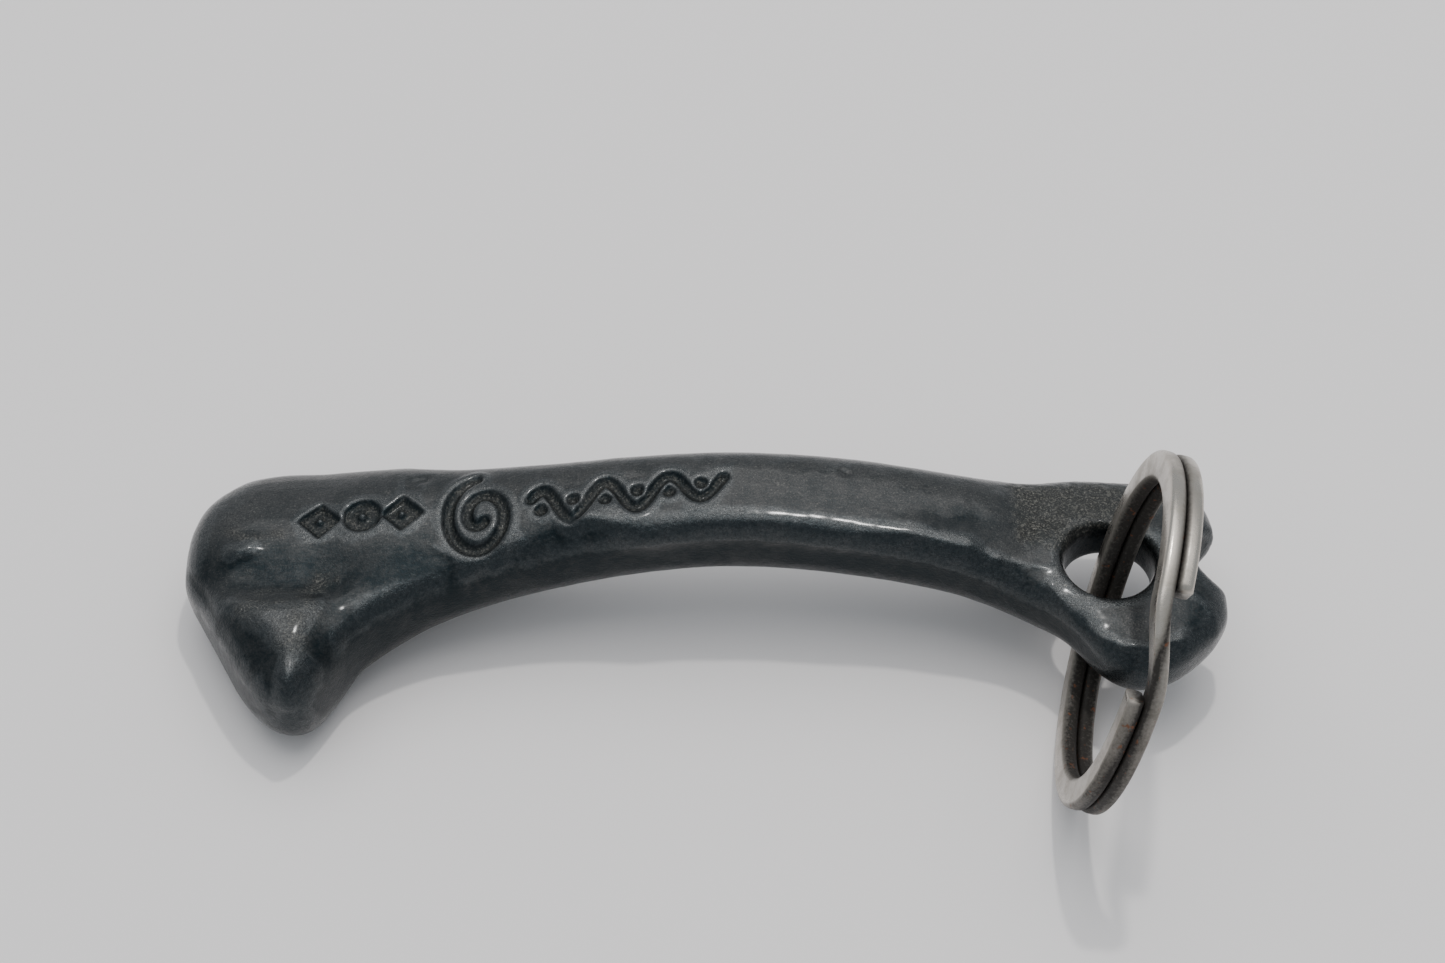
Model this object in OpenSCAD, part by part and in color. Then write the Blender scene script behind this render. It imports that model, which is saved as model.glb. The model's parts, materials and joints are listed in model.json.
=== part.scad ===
// Keychain bottle opener: a cast metal bone with a two-turn split ring through its eye.
// x runs along the bone from the hooked head to the ring end, y runs away from the
// hook's tip, z is up from the table the opener lies on.

/* [Bone] */
// Overall length of the bone
bone_len = 90.6; // [80:0.2:110]
// Width of the shaft at its waist
shaft_w = 9.4; // [7:0.5:11]
// Thickness of the shaft at its waist
shaft_t = 8.2; // [7:0.2:10]
// Height of the shaft's underside above the table at its highest
arch_h = 6.3; // [5.5:0.1:8]
// How far the waist is set back from the line through the ring hole
bow = 6; // [4:0.2:8]
// Roundness of a cross-section, 2 is an ellipse and more is squarer
squareness = 2.9; // [2.2:0.1:4]

/* [Head] */
// Length of the hooked head along the bone
head_len = 24; // [20:0.5:30]
// Width of the head from its back edge to the hook's tip
head_w = 26; // [20:0.2:30]
// Thickness of the head
head_t = 10.8; // [9.8:0.1:13]
// Distance of the head's back edge behind the ring hole's axis
head_back = 12.5; // [9:0.1:14]
// Depth of the flat ground off the head's underside
rest_flat = 0.4; // [0.2:0.05:0.6]

/* [Opener mouth] */
// Outer diameter of the crown cap that the mouth lifts
cap_d = 29; // [26:0.5:32]
// How far the lip reaches under the cap's rim
lip_reach = 1.6; // [1:0.1:2.2]
// Thickness of the lip
lip_t = 2.4; // [1.8:0.1:3]
// Height of the mouth above the table at its deep end
mouth_h = 7.2; // [6:0.1:7.6]
// Distance from the end of the head to the mouth's back wall
mouth_wall = 5; // [4:0.5:7]
// Clearance between the cap's rim and the mouth
cap_clearance = 0.4; // [0.2:0.1:0.8]

/* [Ring end] */
// Width of the ring end across its two knuckles
end_w = 21.6; // [18:0.2:24]
// Thickness of the ring end
end_t = 7; // [5.8:0.1:8.4]
// Height of the ring end's underside above the table
end_lift = 4.1; // [4:0.1:6]
// Distance from the end of the bone to the ring hole's axis
hole_inset = 10.2; // [9.5:0.1:12]
// Depth of the flare at the ring hole's lower rim
lower_flare = 2.6; // [2.2:0.1:3]
// Depth of the flare at the ring hole's upper rim
upper_flare = 1.5; // [1:0.1:2]
// Clearance round the ring's wire as it turns in the hole
ring_play = 0.15; // [0.1:0.05:0.6]
// Radius of the notch between the knuckles
notch_r = 3.2; // [2.8:0.1:4]
// Depth of the notch between the knuckles
notch_depth = 2.8; // [1:0.1:3.5]

/* [Split ring] */
// Outer diameter of the split ring
ring_d = 30.6; // [25:0.1:37]
// Width of the flat wire across the ring's band
wire_w = 2.6; // [1.8:0.02:3.2]
// Thickness of one turn of the flat wire
wire_t = 1.35; // [1:0.01:1.65]
// Gap between the two turns
turn_gap = 0.1; // [0.05:0.05:0.3]
// Angle that the wire takes to cross from one turn to the other
jog_angle = 34; // [20:1:60]
// Angle from the top of the ring down its front to the middle of the crossing
jog_at = 42; // [0:2:60]
// Lean of the ring from upright, towards the ring end
ring_lean = 12.8; // [0:0.1:25]
// Turn of the ring from square across the bone
ring_turn = -9; // [-20:1:20]
// How far behind the ring hole's axis the wire passes
wire_back = 0.25; // [0:0.05:0.6]
// How far beside the ring hole's axis the wire passes, towards the ring end
wire_side = 0.2; // [-0.2:0.1:0.3]

/* [Hidden] */

around = 32;          // points in one cross-section
steps = 3;            // cross-sections between two stations
ring_step = 6;        // degrees between two wire sections
end_run = 17;         // length of the ring end, up to the shaft
mouth_run = 11;       // length of the mouth along the head
mouth_share = 0.455;  // place of the mouth's middle across the head
notch_share = 0.12;   // place of the notch behind the ring hole's axis
past = 1;             // how far a cut runs past the surface it opens

// Bone stations: [x, back y, front y, top z, underside z].
hole_x = bone_len - hole_inset;
shaft_x0 = head_len;
shaft_x1 = bone_len - end_run;

// Shares of the head's length, width and thickness, from the end of the head to the shaft.
head_shares = [
    [0.000, 0.37, 0.44, 0.54, 0.50],
    [0.008, 0.31, 0.465, 0.66, 0.38],
    [0.035, 0.22, 0.515, 0.79, 0.24],
    [0.085, 0.14, 0.59, 0.89, 0.12],
    [0.150, 0.08, 0.70, 0.94, 0.04],
    [0.220, 0.03, 0.82, 0.97, 0.00],
    [0.290, 0.01, 0.915, 0.98, 0.00],
    [0.360, 0.00, 0.975, 0.99, 0.00],
    [0.430, 0.00, 1.000, 1.00, 0.00],
    [0.505, 0.00, 0.980, 1.00, 0.00],
    [0.575, 0.00, 0.880, 1.02, 0.00],
    [0.660, 0.01, 0.745, 1.04, 0.03],
    [0.800, 0.02, 0.645, 1.07, 0.12],
];
function head_station(s) = [
    s[0] * head_len,
    head_back - s[1] * head_w,
    head_back - s[2] * head_w,
    s[3] * head_t,
    s[4] * head_t - (s[4] < 0.02 ? rest_flat : 0)
];

// Shaft: [share of its length, middle y as a share of the bow, width share, underside share of
// the arch, thickness share].
shaft_shares = [
    [0.00, 0.75, 1.42, 0.46, 1.10],
    [0.16, 0.84, 1.16, 0.74, 1.04],
    [0.34, 0.94, 1.06, 0.94, 1.00],
    [0.52, 0.97, 1.03, 1.00, 0.99],
    [0.70, 0.89, 1.07, 0.93, 0.97],
    [0.88, 0.68, 1.15, 0.82, 0.93],
];
function shaft_station(s) = [
    shaft_x0 + s[0] * (shaft_x1 - shaft_x0),
    s[1] * bow + s[2] * shaft_w / 2,
    s[1] * bow - s[2] * shaft_w / 2,
    s[3] * arch_h + s[4] * shaft_t,
    s[3] * arch_h
];

// Ring end: [distance from the end, back y share, front y share, top share, underside share].
end_back = end_w * 0.49;
end_front = end_w * 0.51;
end_shares = [
    [end_run, 0.92, 0.34, 1.04, 0.02],
    [13.8, 0.97, 0.54, 1.00, 0.00],
    [11.6, 1.00, 0.82, 0.98, 0.00],
    [ 9.6, 1.00, 0.97, 0.96, 0.00],
    [ 7.4, 0.99, 1.00, 0.95, 0.00],
    [ 5.2, 0.97, 0.93, 0.94, 0.01],
    [ 3.4, 0.93, 0.81, 0.92, 0.03],
    [ 1.9, 0.85, 0.68, 0.87, 0.08],
    [ 0.9, 0.66, 0.56, 0.79, 0.18],
    [ 0.2, 0.30, 0.44, 0.68, 0.32],
    [ 0.0, 0.00, 0.32, 0.55, 0.45],
];
function end_station(s) = [
    bone_len - s[0],
    s[1] * end_back,
    -s[2] * end_front,
    end_lift + s[3] * end_t,
    end_lift + s[4] * end_t
];

stations = concat(
    [for (s = head_shares) head_station(s)],
    [for (s = shaft_shares) shaft_station(s)],
    [for (s = end_shares) end_station(s)]
);

// A smooth curve through the stations.
function clamped(i) = stations[max(0, min(len(stations) - 1, i))];
function between(i, t) = let (a = clamped(i - 1), b = clamped(i), c = clamped(i + 1), d = clamped(i + 2))
    0.5 * (2 * b + (c - a) * t + (2 * a - 5 * b + 4 * c - d) * t * t + (3 * b - a - 3 * c + d) * t * t * t);
sections = concat(
    [for (i = [0 : len(stations) - 2]) for (k = [0 : steps - 1]) between(i, k / steps)],
    [clamped(len(stations) - 1)]
);

// One cross-section, a rounded box that fills its station.
function bulge(v) = sign(v) * pow(abs(v), 2 / squareness);
function section_point(s, angle) = [
    s[0],
    (s[1] + s[2]) / 2 + bulge(cos(angle)) * (s[1] - s[2]) / 2,
    (s[3] + s[4]) / 2 + bulge(sin(angle)) * (s[3] - s[4]) / 2
];

// Ring pose. The wire crosses the hole's axis at the middle of the hole's depth.
band_t = 2 * wire_t + turn_gap;
ring_r = ring_d / 2;
mid_r = ring_r - wire_w / 2;
ring_axis = [cos(ring_lean) * cos(ring_turn), cos(ring_lean) * sin(ring_turn), -sin(ring_lean)];
ring_z = ring_r * cos(ring_lean) + band_t / 2 * sin(ring_lean);
hole_mid_z = end_lift + end_t / 2;
cross_at = asin((hole_mid_z - ring_z) / (mid_r * cos(ring_lean)));
cross_out = mid_r * cos(cross_at);
rim_tilt = band_t / 2 * sin(ring_lean);
cross_lean = mid_r * sin(cross_at) * sin(ring_lean);
ring_x = hole_x + wire_side + cross_out * sin(ring_turn) - cross_lean * cos(ring_turn);
ring_y = wire_back - cross_out * cos(ring_turn) - cross_lean * sin(ring_turn);

// How far the wire reaches from the hole's axis at height z, whichever way the ring points.
function wire_reach(z) =
    let (up = (z - ring_z) / cos(ring_lean), rise = up - mid_r * sin(cross_at))
    let (behind = sqrt(ring_r * ring_r - up * up) - cross_out + wire_back)
    let (before = cross_out - sqrt(pow(ring_r - wire_w, 2) - up * up) - wire_back)
    norm([max(behind, before), band_t / 2 / cos(ring_lean) + abs(rise) * sin(ring_lean) + wire_side]);
hole_r = wire_reach(end_lift + end_t - upper_flare + rim_tilt) + ring_play;
lower_r = wire_reach(end_lift - rim_tilt) + ring_play;
upper_r = wire_reach(end_lift + end_t + rim_tilt) + ring_play;

// The shift that puts the bottom centre of the whole opener's box at the origin.
function ring_half(a) = ring_r * sqrt(1 - a * a) + band_t / 2 * abs(a);
back_y = max([for (s = sections) s[1]]);
front_y = min(min([for (s = sections) s[2]]), ring_y - ring_half(ring_axis[1]));
shift = [-bone_len / 2, -(back_y + front_y) / 2, 0];

// Opener mouth. Its width lets the cap's round rim reach in over the lip.
cap_r = cap_d / 2;
rim_half = sqrt(cap_r * cap_r - pow(cap_r - lip_reach, 2));
mouth_w = 2 * rim_half + cap_clearance;
mouth_mid = head_back - head_w * mouth_share;

module bone_blank() {
    points = [for (s = sections) for (k = [0 : around - 1]) section_point(s, k * 360 / around)];
    last = (len(sections) - 1) * around;
    walls = [for (i = [0 : len(sections) - 2]) for (k = [0 : around - 1])
        let (a = i * around + k, b = i * around + (k + 1) % around)
        [a, a + around, b + around, b]];
    ends = [[for (k = [0 : around - 1]) k], [for (k = [around - 1 : -1 : 0]) last + k]];
    polyhedron(points, concat(walls, ends), convexity = 6);
}

// Bore for the ring, flared at both rims so that the slanting wire passes.
module ring_hole() {
    top = end_lift + end_t;
    lower_slope = (lower_r - hole_r) / lower_flare;
    upper_slope = (upper_r - hole_r) / upper_flare;
    translate([hole_x, 0, end_lift - past]) cylinder(r = hole_r, h = end_t + 3 * past, $fn = 64);
    translate([hole_x, 0, end_lift - past])
        cylinder(r1 = lower_r + past * lower_slope, r2 = hole_r, h = lower_flare + past, $fn = 64);
    translate([hole_x, 0, top - upper_flare])
        cylinder(r1 = hole_r, r2 = upper_r + 2 * past * upper_slope, h = upper_flare + 2 * past, $fn = 64);
}

// Notch that parts the ring end into two knuckles.
module knuckle_notch() {
    translate([bone_len - notch_depth + notch_r, end_back * notch_share, 0])
        cylinder(r = notch_r, h = end_lift + end_t + 3 * past, $fn = 48);
}

// Mouth in the underside of the head: the lip hooks under a cap's rim and the sloping
// roof lets the cap's top swing up against the shaft.
module opener_mouth() {
    throat = mouth_wall + lip_reach + cap_clearance;
    translate([0, mouth_mid + mouth_w / 2, 0]) rotate([90, 0, 0])
        linear_extrude(height = mouth_w)
            polygon([
                [throat, -past],
                [throat, lip_t],
                [mouth_wall, lip_t],
                [mouth_wall, mouth_h],
                [mouth_wall + mouth_run / 3, mouth_h],
                [mouth_wall + mouth_run, lip_t],
                [mouth_wall + mouth_run, -past],
            ]);
}

module bone_body() {
    color("slategray") translate(shift) difference() {
        bone_blank();
        translate([-past, head_back - head_w - past, -2 * past])
            cube([bone_len, head_w + 2 * past, 2 * past]);
        ring_hole();
        knuckle_notch();
        opener_mouth();
    }
}

// Flat wire wound twice round, one turn beside the other, with a crossing between them.
coil_sweep = 720 - jog_angle - 2;
function turn_x(angle) =
    let (t = (angle - (360 - jog_angle)) / jog_angle)
    (t <= 0 ? 0 : t >= 1 ? 1 : t * t * (3 - 2 * t)) * (wire_t + turn_gap) - band_t / 2;
module split_coil() {
    count = ceil(coil_sweep / ring_step);
    angles = [for (i = [0 : count]) i * coil_sweep / count];
    points = [for (a = angles) for (c = [[0, 0], [0, 1], [1, 1], [1, 0]])
        let (r = ring_r - wire_w + c[1] * wire_w)
        [turn_x(a) + c[0] * wire_t, -r * sin(a), r * cos(a)]];
    walls = [for (i = [0 : count - 1]) for (k = [0 : 3])
        let (a = i * 4 + k, b = i * 4 + (k + 1) % 4)
        [a, b, b + 4, a + 4]];
    ends = [[3, 2, 1, 0], [for (k = [0 : 3]) count * 4 + k]];
    polyhedron(points, concat(walls, ends), convexity = 8);
}

module split_ring() {
    color("silver") translate(shift) translate([ring_x, ring_y, ring_z])
        rotate([0, ring_lean, ring_turn]) rotate([jog_at + jog_angle / 2, 0, 0]) split_coil();
}

bone_body();
split_ring();
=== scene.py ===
import bpy
import bmesh
import json
import math
import numpy as np
from mathutils import Matrix, Vector


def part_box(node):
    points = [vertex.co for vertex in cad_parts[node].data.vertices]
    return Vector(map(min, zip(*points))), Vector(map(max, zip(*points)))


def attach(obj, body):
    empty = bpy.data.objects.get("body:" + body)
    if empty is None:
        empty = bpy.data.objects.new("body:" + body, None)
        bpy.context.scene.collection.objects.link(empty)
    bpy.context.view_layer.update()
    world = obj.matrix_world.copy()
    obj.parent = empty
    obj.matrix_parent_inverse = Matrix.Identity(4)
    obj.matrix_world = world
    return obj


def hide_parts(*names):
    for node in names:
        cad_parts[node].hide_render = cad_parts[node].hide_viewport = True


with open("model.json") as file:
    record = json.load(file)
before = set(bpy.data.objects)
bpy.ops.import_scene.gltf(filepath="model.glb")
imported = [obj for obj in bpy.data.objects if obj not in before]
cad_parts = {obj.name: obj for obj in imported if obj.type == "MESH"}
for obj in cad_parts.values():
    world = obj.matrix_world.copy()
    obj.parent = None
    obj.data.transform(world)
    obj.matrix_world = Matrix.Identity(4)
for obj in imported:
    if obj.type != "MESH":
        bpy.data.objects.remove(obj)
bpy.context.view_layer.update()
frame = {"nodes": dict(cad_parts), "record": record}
mm = 0.001
boneLow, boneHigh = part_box("bone_body")
ringHole = Vector(frame["record"]["behaviour"]["joints"][0]["pos_m"])
keyLoop = next(m for m in frame["record"]["mounts"] if m["name"] == "key_loop")


# Shader maths: a wire is a socket, and sums on wires add Math nodes.
class Wire:
    def __init__(self, tree, socket=None):
        self.tree = tree
        self.socket = socket

    def node(self, kind, settings=None, values=None, out=0):
        made = self.tree.nodes.new(kind)
        for name, value in (settings or {}).items():
            setattr(made, name, value)
        for name, value in (values or {}).items():
            socket = made.inputs[name]
            if isinstance(value, Wire):
                self.tree.links.new(value.socket, socket)
            else:
                socket.default_value = value
        return Wire(self.tree, made.outputs[out])

    def maths(self, operation, first, second):
        return self.node("ShaderNodeMath", {"operation": operation}, {0: first, 1: second})

    def __add__(self, other):
        return self.maths("ADD", self, other)

    def __radd__(self, other):
        return self.maths("ADD", other, self)

    def __sub__(self, other):
        return self.maths("SUBTRACT", self, other)

    def __rsub__(self, other):
        return self.maths("SUBTRACT", other, self)

    def __mul__(self, other):
        return self.maths("MULTIPLY", self, other)

    def __rmul__(self, other):
        return self.maths("MULTIPLY", other, self)

    def clamp(self):
        return self.node("ShaderNodeClamp", None, {"Value": self})

    def step(self, low, high):     # smooth 0 to 1 between two values
        return self.node("ShaderNodeMapRange", {"interpolation_type": "SMOOTHSTEP"},
                         {"Value": self, "From Min": low, "From Max": high})

    def mix(self, first, second):     # colours, by this wire's value
        return self.node("ShaderNodeMix", {"data_type": "RGBA"}, {0: self, 6: first, 7: second}, 2)


def newMaterial(name):
    material = bpy.data.materials.new(name)
    material.use_nodes = True
    tree = material.node_tree
    surface = next(n for n in tree.nodes if n.type == "BSDF_PRINCIPLED")
    return material, Wire(tree), surface


def connect(wire, socket):
    wire.tree.links.new(wire.socket, socket)


# Cast metal of the bone.
castLook = {
    "dark": (0.003, 0.009, 0.012, 1),      # blue-black patina on the sides
    "grey": (0.042, 0.043, 0.043, 1),      # pewter grey: painted light on faces turned up and back toward the lamps, and random patches
    "rubbedAndHighlight": (0.11, 0.12, 0.125, 1),      # polished edges, with painted highlight on convex ridges
    "dustAndFloorReflection": (0.036, 0.036, 0.032, 1),      # brown-grey oxide in the hollows, and painted floor reflection on faces turned down
    "sand": (0.24, 0.23, 0.20, 1),         # pale grains of casting sand
    "soot": (0.010, 0.011, 0.012, 1),      # deepest pits
    "gloss": 0.24,
    "plain": 0.38,
    "matt": 0.65,
    "film": 0.42,                          # thin wax over the metal, which gives the small glints
    "filmRoughness": 0.13,
    "broadScale": 160,                     # noise scales, per metre
    "cloudScale": 700,
    "speckScale": 3000,
    "gritScale": 4300,
    "streakScale": 5200,
    "grainScale": 7500,
    "streakStretch": (0.22, 1, 1),
    "bumpStrength": 0.8,
    "bumpDepth": 0.07 * mm,
}


def castMetal():
    material, w, surface = newMaterial("castPatina")
    place = w.node("ShaderNodeTexCoord", out=3)
    relief = w.node("ShaderNodeAttribute", {"attribute_name": "relief"}, out=2)
    grimeAndFloorReflection = w.node("ShaderNodeAttribute", {"attribute_name": "grimeAndFloorReflection"}, out=2)
    wearAndTopLight = w.node("ShaderNodeAttribute", {"attribute_name": "wearAndTopLight"}, out=2)

    def noise(scale, detail=4.0, rough=0.55):
        return w.node("ShaderNodeTexNoise", None,
                      {"Vector": place, "Scale": scale, "Detail": detail, "Roughness": rough})

    along = w.node("ShaderNodeVectorMath", {"operation": "MULTIPLY"},
                   {0: place, 1: castLook["streakStretch"]})
    broad = noise(castLook["broadScale"], 3)
    cloud = noise(castLook["cloudScale"], 5, 0.65)
    speck = noise(castLook["speckScale"], 4, 0.75)
    grain = noise(castLook["grainScale"], 3, 0.65)
    grit = noise(castLook["gritScale"], 2, 0.5)
    streak = w.node("ShaderNodeTexNoise", None,
                    {"Vector": along, "Scale": castLook["streakScale"], "Detail": 3, "Roughness": 0.6})
    # Oxide in hollows, plus painted floor reflection on faces turned down.
    hollow = (grimeAndFloorReflection + (cloud - 0.5) * 0.5).step(0.15, 0.85)
    high = (relief + (speck - 0.5) * 1.2).step(0.45, 1.25)
    patchy = (broad * 0.25 + cloud * 0.30 + speck * 0.25 + streak * 0.20).step(0.38, 0.62)
    # Patina, with light painted on: grey on faces turned up and back toward the lamps, and lighter edges
    # partly as painted highlight; then oxide, pits and grains of sand.
    tone = (wearAndTopLight * 0.75 + patchy * 0.8 - 0.3).clamp().mix(castLook["dark"], castLook["grey"])
    # Convex edges lighter: polished metal, and painted highlight.
    tone = (high * 0.26).clamp().mix(tone, castLook["rubbedAndHighlight"])
    tone = (hollow * 0.9).clamp().mix(tone, castLook["dustAndFloorReflection"])
    pits = (1 - grain.step(0.38, 0.50)) * (0.40 + patchy * 0.25 + hollow * 0.6)
    tone = pits.clamp().mix(tone, castLook["soot"])
    # Pale grains of casting sand, more of them under the painted top light and in the oxide.
    sand = grain.step(0.56, 0.68) * (0.03 + wearAndTopLight * 0.16 + streak.step(0.5, 0.7) * wearAndTopLight * 0.25 + hollow * 0.60)
    sand = sand + grit.step(0.55, 0.63) * hollow * 0.55
    tone = sand.clamp().mix(tone, castLook["sand"])
    connect(tone, surface.inputs["Base Color"])
    connect((0.9 - hollow * 0.35).clamp(), surface.inputs["Metallic"])
    gloss = castLook["plain"] + (castLook["matt"] - castLook["plain"]) * hollow
    gloss = gloss - (castLook["plain"] - castLook["gloss"]) * high
    connect((gloss + (speck - 0.5) * 0.25).clamp(), surface.inputs["Roughness"])
    film = castLook["film"] * (1 - hollow * 0.9) * (0.2 + cloud * 0.4 + wearAndTopLight * 0.5 + high * 0.25)
    connect(film.clamp(), surface.inputs["Coat Weight"])
    surface.inputs["Coat Roughness"].default_value = castLook["filmRoughness"]
    height = grain * (0.45 + hollow * 0.9) + speck * (1.1 + hollow * 1.3) + cloud * 1.2 + streak * 0.25
    height = height + grit * hollow * 2.5
    bump = w.node("ShaderNodeBump", None,
                  {"Strength": castLook["bumpStrength"], "Distance": castLook["bumpDepth"],
                   "Height": height})
    connect(bump, surface.inputs["Normal"])
    return material


# Nickel of the split ring.
nickelLook = {
    "bright": (0.49, 0.45, 0.40, 1),
    "wearAndTopLight": (0.31, 0.28, 0.235, 1),
    # dark of painted shade with some dirt, for the groove, the inner face and the lower front
    "shadeAndDirtColour": (0.016, 0.013, 0.010, 1),
    "rust": (0.16, 0.055, 0.020, 1),
    "cloudScale": 420,
    "spotScale": 1500,
    "fineScale": 3800,
    "bumpStrength": 0.35,
    "bumpDepth": 0.02 * mm,
}


def nickel():
    material, w, surface = newMaterial("wornNickel")
    place = w.node("ShaderNodeTexCoord", out=3)
    lane = w.node("ShaderNodeAttribute", {"attribute_name": "groove"}, out=2)

    def noise(scale, detail=4.0, rough=0.55):
        return w.node("ShaderNodeTexNoise", None,
                      {"Vector": place, "Scale": scale, "Detail": detail, "Roughness": rough})

    cloud = noise(nickelLook["cloudScale"], 4)
    fine = noise(nickelLook["fineScale"], 4, 0.65)
    tarnish = (cloud * 0.7 + fine * 0.3).step(0.42, 0.66)
    tone = (tarnish * 0.55).mix(nickelLook["bright"], nickelLook["wearAndTopLight"])
    # Painted shade with some dirt: dark in the groove between the turns, on the inner face and on the lower
    # front of the outside.
    shadeAndDirtMask = (lane * (0.75 + fine * 0.55)).clamp()
    tone = shadeAndDirtMask.mix(tone, nickelLook["shadeAndDirtColour"])
    spots = noise(nickelLook["spotScale"], 3).step(0.62, 0.72) * lane.step(0.2, 0.7)
    tone = (spots * 0.8).mix(tone, nickelLook["rust"])
    connect(tone, surface.inputs["Base Color"])
    connect((1 - shadeAndDirtMask * 0.75).clamp(), surface.inputs["Metallic"])
    connect((0.20 + tarnish * 0.16 + shadeAndDirtMask * 0.35 + fine * 0.06).clamp(), surface.inputs["Roughness"])
    bump = w.node("ShaderNodeBump", None,
                  {"Strength": nickelLook["bumpStrength"], "Distance": nickelLook["bumpDepth"],
                   "Height": fine + cloud * 0.6})
    connect(bump, surface.inputs["Normal"])
    return material


# Bone.
# Plan places are in millimetres: along the bone from the head's end, and behind the ring
# hole's axis.
boneShape = {
    "voxel": 0.22 * mm,
    "smoothing": 26,
    "curveReach": 30,     # rounds of averaging behind the lighter edges (polished, with painted highlight) and the oxide in hollows
    "strokes": [          # radius, height, and the places a rounded swelling or hollow runs through
        (1.3, 0.42, [(4.9, 1.0), (6.2, 1.5)]),                         # bump at the head's rim
        (0.6, 0.20, [(5.4, 1.0), (5.9, 1.1)]),
        (3.0, -0.78, [(2.5, -1.2), (8, -1.9), (13.5, -1.9)]),          # valley across the head
        (2.6, -0.42, [(13, -1.4), (18, -1.0), (23, 0.2)]),
        (1.1, 0.46, [(10.6, -11.7), (10.5, -12.5)]),                   # tip of the hook's plateau
        (0.6, 0.10, [(10.55, -12.2), (10.5, -12.6)]),
        (1.3, -0.22, [(14.4, -5.6), (13.2, -8.8)]),
        (1.3, -0.20, [(4.4, -5.8), (7.4, -10.0)]),
        (1.2, 0.16, [(15.0, -7.6), (17.4, -4.6), (21.0, -2.6), (25.0, -1.2)]),   # right flank rib
        (1.5, 0.34, [(35, 2.3), (40.9, 1.3), (45.2, 1.9), (51.3, 1.9), (57, 1.3), (63, 1.1), (68, 0.2)]),
        (1.4, -0.16, [(66.0, 2.6), (68.8, 3.2)]),                      # shallow dent
        (0.55, -0.20, [(20.1, 8.2), (21.1, 8.5)]),                     # casting pits
        (0.40, -0.18, [(20.0, 7.4), (20.2, 7.3)]),
        (0.30, -0.16, [(57.5, 7.3), (57.9, 7.0)]),
    ],
    "ridges": [           # the same with a sharp crest
        (1.4, 0.36, [(34.5, 2.2), (36.1, 2.5), (40.9, 1.2), (45.2, 1.9), (51.3, 1.9), (57, 1.3),
                     (63, 1.1), (68.3, 0.0), (70.5, -0.8)]),
        (0.45, 0.14, [(70.5, -0.8), (73, -1.0), (75.8, -1.4)]),
        (0.5, 0.13, [(33.6, 2.2), (36.6, 2.0), (38.6, 1.5), (41.4, 1.0), (45.0, 1.7), (51.0, 1.8),
                     (57, 1.2), (63, 1.0), (68.0, 0.0)]),
        (0.5, 0.12, [(22.2, 1.0), (24.8, -0.9), (27.6, -0.9), (29.6, 0.9)]),      # under the scroll
        (0.95, 0.46, [(75.2, -3.0), (77.6, -6.2), (79.2, -8.0), (80.9, -8.9), (82.9, -9.1), (86.0, -8.2)]),
        (1.1, 0.16, [(86.6, -3.4), (88.4, -4.6), (89.2, -6.4)]),
    ],
    "patches": [          # softness of the edge, height, outline
        (1.6, 0.46, [(5.2, -4.2), (12.6, -4.4), (11.6, -9.4), (10.6, -12.4), (9.6, -9.8)]),    # on the hook
        (1.6, -0.30, [(72.6, 1.2), (72.4, 7.4), (80.5, 9.2), (86.0, 6.6), (86.0, 4.2), (78.0, 3.4)]),
    ],
    "paintedDarkSpots": [        # radius, share and places where the lighter top tone is taken off: painted shade
        (2.6, 0.9, [(7.5, -0.6), (11, -1.4), (15, -1.6), (20, -0.8)]),
        (1.5, 0.7, [(3.4, -5.2), (6.4, -9.6)]),
        (1.7, 0.6, [(14.2, -5.4), (13.0, -9.0)]),
        (2.4, 0.7, [(86.6, 1.2), (88.6, -2.6), (88.0, -6.2)]),
        (1.6, 0.6, [(66.0, 2.6), (68.8, 3.2)]),
    ],
    "matt": [             # the same for dull, mottled oxide
        (1.9, 0.42, [(6.2, -4.8), (11.6, -5.0), (10.8, -8.8)]),
        (0.9, 0.40, [(4.4, 3.4), (6.0, 2.4), (8.6, 3.0)]),
    ],
    # outline of the rough cast patch behind the ring hole
    "sandy": [(72.4, 1.6), (72.2, 8.4), (80.5, 9.6), (85.0, 7.4), (84.0, 3.0), (76.6, 0.4)],
}


def smoothStep(value, low, high):
    t = np.clip((value - low) / (high - low), 0, 1)
    return t * t * (3 - 2 * t)


def distanceTo(plan, points):     # from each plan place to a run of straight pieces
    nearest = np.full(len(plan), 1e9)
    for a, b in zip(points[:-1], points[1:]):
        a, b = np.array(a, float), np.array(b, float)
        along = b - a
        t = np.clip(((plan - a) @ along) / max(along @ along, 1e-9), 0, 1)
        nearest = np.minimum(nearest, np.linalg.norm(plan - a - t[:, None] * along, axis=1))
    return nearest


def areaDepth(plan, corners):     # distance inside an outline, negative outside it
    inside = np.zeros(len(plan), bool)
    for (ax, ay), (bx, by) in zip(corners, corners[1:] + corners[:1]):
        spans = (plan[:, 1] < ay) != (plan[:, 1] < by)
        if by != ay:
            inside ^= spans & (plan[:, 0] < ax + (plan[:, 1] - ay) * (bx - ax) / (by - ay))
    edge = distanceTo(plan, corners + corners[:1])
    return np.where(inside, edge, -edge)


# Stamped ornament: a diamond, a disc and a diamond, a curled scroll, and a waving stem with buds.
stampShape = {
    "depth": 0.50,
    "stroke": 0.44,
    "marks": [(12.1, 4.3, 4), (15.8, 4.5, 0), (19.3, 4.5, 4)],
    "markSize": 1.75,
    "scroll": (26.2, 3.6, 3.9),
    "waveStart": 30.6,
    "waveEnd": 47.2,
    "waves": 3,
}


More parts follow.
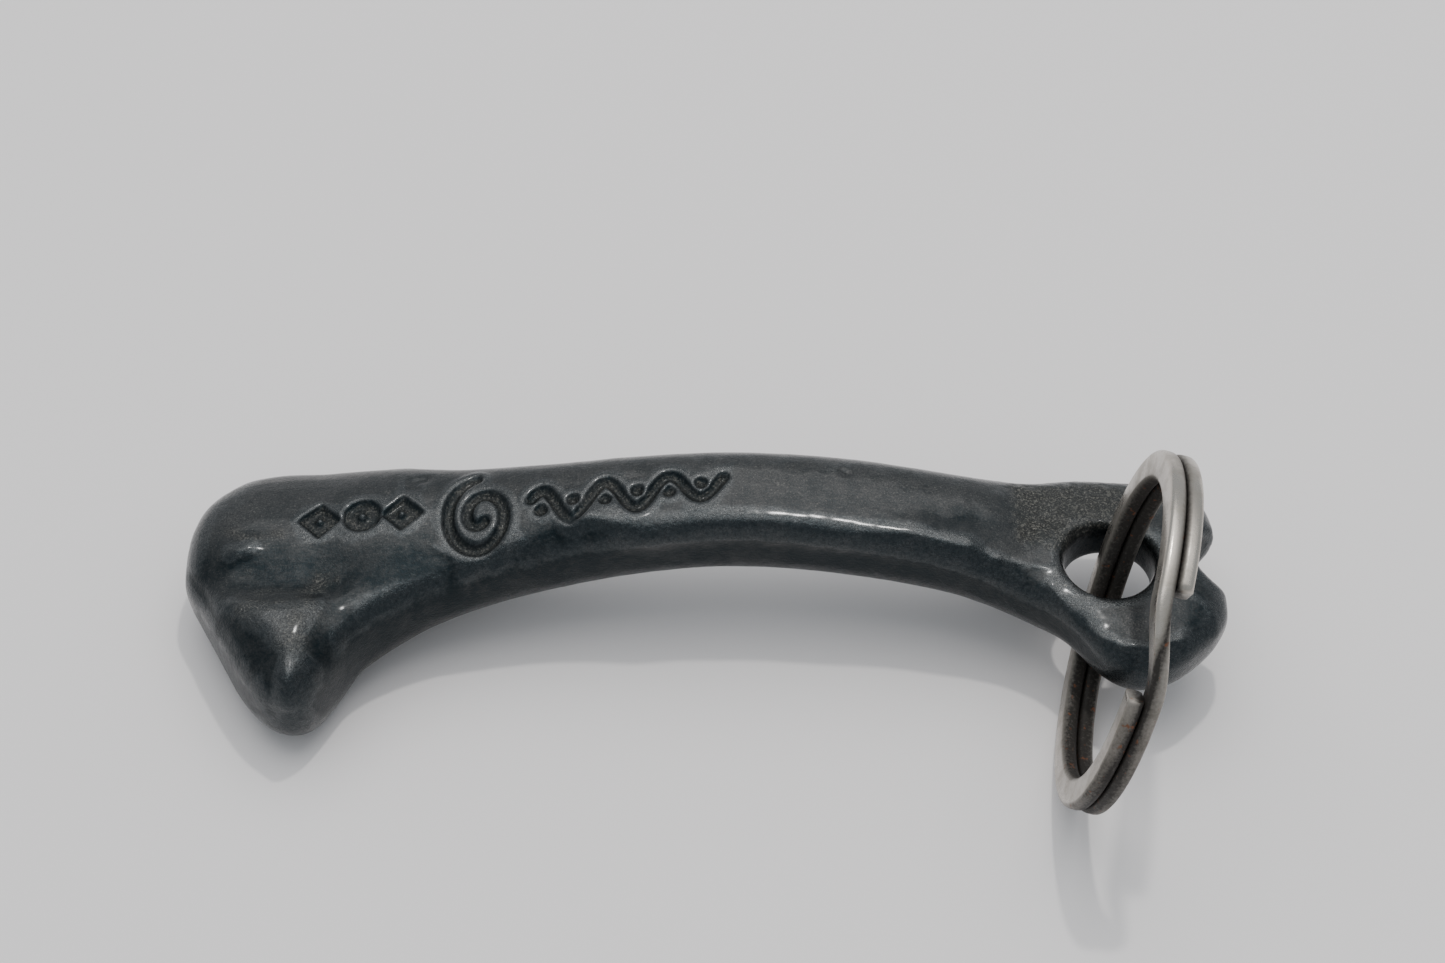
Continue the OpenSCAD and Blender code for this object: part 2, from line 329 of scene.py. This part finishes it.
def ornamentDepth(plan):     # 0 outside, 1 in the bottom of a stamped stroke, and the rim beside it
    s = stampShape
    gap = np.full(len(plan), 1e9)
    for x, y, sides in s["marks"]:
        d = np.abs(plan - (x, y))
        reach = d.sum(axis=1) if sides else np.hypot(d[:, 0], d[:, 1]) * 1.12
        gap = np.minimum(gap, np.abs(reach - s["markSize"] * 0.62) - s["markSize"] * 0.42)
    turns = np.linspace(0, 1, 60)
    x, y, size = s["scroll"]
    angle = turns * math.radians(560) + math.radians(100)
    radius = size * (1 - 0.86 * turns) ** 0.9
    curl = list(zip(x + radius * 0.82 * np.cos(angle), y + radius * 1.12 * np.sin(angle)))
    gap = np.minimum(gap, distanceTo(plan, curl) - s["stroke"])
    t = np.linspace(0, 1, 90)
    wx = s["waveStart"] + t * (s["waveEnd"] - s["waveStart"])
    middle = 3.7 + 1.7 * t
    swing = 1.9 * (1 - 0.35 * t)
    wave = list(zip(wx, middle + swing * np.sin(t * s["waves"] * 2 * math.pi + 0.6)))
    gap = np.minimum(gap, distanceTo(plan, wave) - s["stroke"])
    for k in range(2 * s["waves"]):
        t = (k + 0.5) / (2 * s["waves"]) - 0.6 / (s["waves"] * 2 * math.pi)
        bud = np.array((s["waveStart"] + t * (s["waveEnd"] - s["waveStart"]),
                        3.7 + 1.7 * t - (1 if k % 2 == 0 else -1) * 0.25))
        gap = np.minimum(gap, np.linalg.norm(plan - bud, axis=1) - 0.5)
    sunk = 1 - smoothStep(gap, -0.34, 0.26)
    rim = np.exp(-((gap - 0.50) / 0.30) ** 2)
    return sunk, rim


def neighbourMean(values, edges, count):
    total = np.zeros_like(values)
    np.add.at(total, edges[:, 0], values[edges[:, 1]])
    np.add.at(total, edges[:, 1], values[edges[:, 0]])
    return total / count[:, None]


def readVertices(mesh):
    places = np.empty(len(mesh.vertices) * 3)
    mesh.vertices.foreach_get("co", places)
    normals = np.empty(len(mesh.vertices) * 3)
    mesh.vertices.foreach_get("normal", normals)
    return places.reshape(-1, 3), normals.reshape(-1, 3)


def toPlan(places):
    return np.stack([places[:, 0] - boneLow[0], places[:, 1] - ringHole.y], axis=1) / mm


def softNoise(places, scale, seed):     # smooth lumps, from a few fixed waves
    dice = np.random.default_rng(seed)
    total = np.zeros(len(places))
    for _ in range(14):
        way = dice.normal(size=3)
        way *= scale / np.linalg.norm(way) * dice.uniform(0.6, 1.5)
        total += np.sin(places @ way / mm + dice.uniform(0, 6.28))
    return total / 14 ** 0.5


def makeBone():
    source = frame["nodes"]["bone_body"]
    mesh = source.data.copy()
    bm = bmesh.new()
    bm.from_mesh(mesh)
    bmesh.ops.remove_doubles(bm, verts=bm.verts, dist=1e-6)
    bm.to_mesh(mesh)
    bm.free()
    bone = bpy.data.objects.new("castBone", mesh)
    bpy.context.scene.collection.objects.link(bone)
    remesh = bone.modifiers.new("grain", "REMESH")
    remesh.mode = "VOXEL"
    remesh.voxel_size = boneShape["voxel"]
    even = bpy.data.meshes.new_from_object(bone.evaluated_get(bpy.context.evaluated_depsgraph_get()))
    bone.modifiers.clear()
    bone.data = even
    bm = bmesh.new()
    bm.from_mesh(even)
    for _ in range(boneShape["smoothing"]):
        bmesh.ops.smooth_vert(bm, verts=bm.verts, factor=0.5,
                              use_axis_x=True, use_axis_y=True, use_axis_z=True)
    bm.to_mesh(even)
    bm.free()
    print("bone blank", len(even.polygons), "faces")
    return bone


def sculptBone(bone):
    mesh = bone.data
    places, normals = readVertices(mesh)
    plan = toPlan(places)
    up = smoothStep(normals[:, 2], -0.05, 0.4)
    lift = np.zeros(len(places))
    for radius, height, points in boneShape["strokes"]:
        lift += height * np.exp(-(distanceTo(plan, points) / radius) ** 2)
    for radius, height, points in boneShape["ridges"]:
        lift += height * np.exp(-(np.hypot(distanceTo(plan, points), 0.12) - 0.12) / radius)
    for soft, height, corners in boneShape["patches"]:
        lift += height * smoothStep(areaDepth(plan, corners), -soft, soft)
    lift *= up
    lift += 0.03 * softNoise(places, 0.55, 3) + 0.009 * softNoise(places, 1.7, 5)
    lift += 0.005 * softNoise(places, 3.4, 6) + 0.0025 * softNoise(places, 8.0, 7)
    sandy = smoothStep(areaDepth(plan, boneShape["sandy"]), -1.8, 1.2) * up
    lift += sandy * (0.030 * softNoise(places, 6.5, 8) + 0.018 * softNoise(places, 11.0, 9))
    sunk, rim = ornamentDepth(plan)
    top = smoothStep(normals[:, 2], 0.1, 0.4)
    lift += top * (-stampShape["depth"] * sunk + 0.06 * rim)
    places += normals * lift[:, None] * mm
    places = np.clip(places, np.array(boneLow), np.array(boneHigh))
    mesh.vertices.foreach_set("co", places.ravel())
    mesh.update()
    stamped = top * sunk
    return np.clip(stamped * 0.5 + sandy * 0.55, 0, 1), stamped


def paintBone(bone, grimeBase, stamped):
    mesh = bone.data
    places, normals = readVertices(mesh)
    edges = np.empty(len(mesh.edges) * 2, int)
    mesh.edges.foreach_get("vertices", edges)
    edges = edges.reshape(-1, 2)
    count = np.bincount(edges.ravel(), minlength=len(places)).astype(float)
    soft = places.copy()
    for _ in range(boneShape["curveReach"]):
        soft = neighbourMean(soft, edges, count)
    curve = ((places - soft) * normals).sum(axis=1) / mm
    relief = np.clip((curve - 0.02) / 0.05, -1, 1)
    grimeAndFloorReflection = np.clip(grimeBase + np.clip((-curve - 0.03) / 0.08, 0, 1) * 0.4, 0, 1)
    grimeAndFloorReflection *= 1 - 0.5 * stamped
    # Painted reflection of the floor: faces turned down get the lighter top tone and some of the oxide tone.
    under = 1 - smoothStep(normals[:, 2], -0.40, -0.05)
    # Painted light: faces turned up and back toward the lamps get the lighter grey top tone; stamped strokes
    # keep the dark patina.
    wearAndTopLight = smoothStep(normals[:, 2] + 0.9 * normals[:, 1], 0.35, 0.95) * smoothStep(normals[:, 2], 0.0, 0.5)
    plan = toPlan(places)
    # Painted shade: the lighter top tone is taken off at these spots.
    for radius, share, points in boneShape["paintedDarkSpots"]:
        wearAndTopLight = wearAndTopLight * (1 - share * np.exp(-(distanceTo(plan, points) / radius) ** 2))
    wearAndTopLight = np.maximum(wearAndTopLight * (1 - 0.8 * stamped), under)
    for radius, share, points in boneShape["matt"]:
        grimeAndFloorReflection += share * np.exp(-(distanceTo(plan, points) / radius) ** 2)
    grimeAndFloorReflection = np.clip(grimeAndFloorReflection, 0, 1)
    grimeAndFloorReflection = np.maximum(grimeAndFloorReflection, under * 0.38)
    for name, values in (("relief", relief), ("grimeAndFloorReflection", grimeAndFloorReflection), ("wearAndTopLight", wearAndTopLight)):
        layer = mesh.attributes.new(name, "FLOAT", "POINT")
        layer.data.foreach_set("value", values.astype(np.float32))


def bone():
    piece = makeBone()
    grimeAndFloorReflection, stamped = sculptBone(piece)
    paintBone(piece, grimeAndFloorReflection, stamped)
    for face in piece.data.polygons:
        face.use_smooth = True
    piece.data.materials.clear()
    piece.data.materials.append(castMetal())
    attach(piece, "bone")
    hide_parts("bone_body")
    print("bone done")


# Split ring.
ringShape = {
    "outside": 30.6 * mm / 2,
    "width": 2.6 * mm,
    "turn": 1.35 * mm,
    "gap": 0.1 * mm,
    "rounding": 0.45 * mm,
    "jog": 34,
    "jogAt": 42,          # degrees: the crossing from one turn to the next, its start, lean and yaw
    "lean": 12.8,
    "yaw": -9,
    "shadedArcAt": -40,       # degrees: the middle of the part of the outside painted dark as shade, and its reach
    "shadedArcReach": 62,
    "step": 2,            # degrees from one section of the wire to the next
    "crossingParts": 17,
}


def ring():
    s = ringShape
    centre = Vector(keyLoop["pos_m"])
    bm = bmesh.new()
    bmesh.ops.create_grid(bm, x_segments=1, y_segments=1, size=0.5)
    bmesh.ops.scale(bm, vec=(s["turn"], s["width"], 1), verts=bm.verts)
    bmesh.ops.bevel(bm, geom=bm.verts[:], offset=s["rounding"], segments=4, profile=0.5,
                    affect="VERTICES", material=-1)
    # The section's flat side faces the next turn: x along the ring's axis, y across the band.
    band = 2 * s["turn"] + s["gap"]
    turnUp = Matrix(((1, 0, 0), (0, 0, -1), (0, 1, 0))).to_4x4()
    bmesh.ops.transform(bm, matrix=turnUp, verts=bm.verts)
    place = Matrix.Translation((-band / 2 + s["turn"] / 2, 0, s["outside"] - s["width"] / 2))
    bmesh.ops.transform(bm, matrix=place, verts=bm.verts)
    geom = bm.faces[:] + bm.edges[:] + bm.verts[:]

    def sweep(geom, degrees, shift=0.0):
        steps = max(1, round(degrees / s["step"]))
        done = bmesh.ops.spin(bm, geom=geom, cent=(0, 0, 0), axis=(1, 0, 0), dvec=(shift / steps, 0, 0),
                              angle=math.radians(degrees), steps=steps, use_merge=False)
        return done["geom_last"]

    geom = sweep(geom, 360 - s["jog"])
    parts = s["crossingParts"]
    for part in range(parts):     # an eased crossing to the next turn
        a = part / parts
        b = (part + 1) / parts
        ease = b * b * (3 - 2 * b) - a * a * (3 - 2 * a)
        geom = sweep(geom, s["jog"] / parts, (s["turn"] + s["gap"]) * ease)
    sweep(geom, 360 - s["jog"] - 2)
    bmesh.ops.remove_doubles(bm, verts=bm.verts, dist=1e-7)
    bmesh.ops.recalc_face_normals(bm, faces=bm.faces)
    # Painted shade with some dirt: the groove between the turns, the inner face and the lower front of the
    # outside are marked to be painted dark.
    groove = bm.verts.layers.float.new("groove")
    for v in bm.verts:
        radius = math.hypot(v.co.y, v.co.z)
        inside = 1 - min(1, max(0, (radius - (s["outside"] - s["width"])) / (0.55 * mm)))
        between = max(0, 1 - abs(v.co.x) / (0.65 * mm))
        turned = math.degrees(math.atan2(v.co.y, v.co.z))
        arc = max(0, 1 - abs(turned - s["shadedArcAt"]) / s["shadedArcReach"]) ** 0.5
        outer = min(1, max(0, (radius - s["outside"] + 0.5 * mm) / (0.3 * mm)))
        v[groove] = min(1, between + 0.95 * inside + 0.85 * arc * outer)
    pose = (Matrix.Translation(centre) @ Matrix.Rotation(math.radians(s["yaw"]), 4, "Z")
            @ Matrix.Rotation(math.radians(s["lean"]), 4, "Y")
            @ Matrix.Rotation(math.radians(s["jogAt"] + s["jog"] / 2), 4, "X"))
    bmesh.ops.transform(bm, matrix=pose, verts=bm.verts)
    mesh = bpy.data.meshes.new("keyRing")
    bm.to_mesh(mesh)
    bm.free()
    for face in mesh.polygons:
        face.use_smooth = True
    piece = bpy.data.objects.new("keyRing", mesh)
    bpy.context.scene.collection.objects.link(piece)
    mesh.materials.append(nickel())
    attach(piece, "ring")
    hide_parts("split_ring")
    print("ring done", len(mesh.polygons), "faces")


# Floor, lights and camera.
stageLook = {
    "floor": (0.88, 0.845, 0.835, 1),
    "world": (0.56, 0.60, 0.635, 1),
    "worldStrength": 1.0,
    "floorSize": 1.5,
    "floorRoughness": 0.55,
    # name, place, disk size, power, colour
    "lamps": [
        ("window", (0.07, 0.16, 0.55), 0.028, 0.75, (1, 0.985, 0.96)),
        ("softbox", (0.0, 0.36, 1.2), 1.6, 9, (1, 0.985, 0.975)),
    ],
}


def lookFromTo(thing, place, aim):
    thing.location = place
    thing.rotation_mode = "QUATERNION"
    thing.rotation_quaternion = (Vector(aim) - Vector(place)).to_track_quat("-Z", "Y")


def lamp(name, place, size, power, colour):
    data = bpy.data.lights.new(name, "AREA")
    data.shape = "DISK"
    data.size = size
    data.energy = power
    data.color = colour
    light = bpy.data.objects.new(name, data)
    bpy.context.scene.collection.objects.link(light)
    lookFromTo(light, place, (0, 0, 0))


def stage():
    bm = bmesh.new()
    bmesh.ops.create_grid(bm, x_segments=1, y_segments=1, size=stageLook["floorSize"])
    mesh = bpy.data.meshes.new("floor")
    bm.to_mesh(mesh)
    bm.free()
    floor = bpy.data.objects.new("floor", mesh)
    bpy.context.scene.collection.objects.link(floor)
    material, _, surface = newMaterial("paleFloor")
    surface.inputs["Base Color"].default_value = stageLook["floor"]
    surface.inputs["Roughness"].default_value = stageLook["floorRoughness"]
    mesh.materials.append(material)
    world = bpy.context.scene.world or bpy.data.worlds.new("world")
    bpy.context.scene.world = world
    world.use_nodes = True
    background = next(n for n in world.node_tree.nodes if n.type == "BACKGROUND")
    background.inputs["Color"].default_value = stageLook["world"]
    background.inputs["Strength"].default_value = stageLook["worldStrength"]
    for settings in stageLook["lamps"]:
        lamp(*settings)
    print("floor and lights done")


cameraView = {
    "sensor": 36,
    "lens": 80.7,
    "place": (1.8, -169.04, 226.5),     # in millimetres
    "aim": (1.8, 25.06, 0),
}


def camera():
    data = bpy.data.cameras.new("camera")
    data.sensor_width = cameraView["sensor"]
    data.lens = cameraView["lens"]
    cam = bpy.data.objects.new("camera", data)
    bpy.context.scene.collection.objects.link(cam)
    lookFromTo(cam, Vector(cameraView["place"]) * mm, Vector(cameraView["aim"]) * mm)
    bpy.context.scene.camera = cam
    print("camera done")


camera()
stage()
bone()
ring()
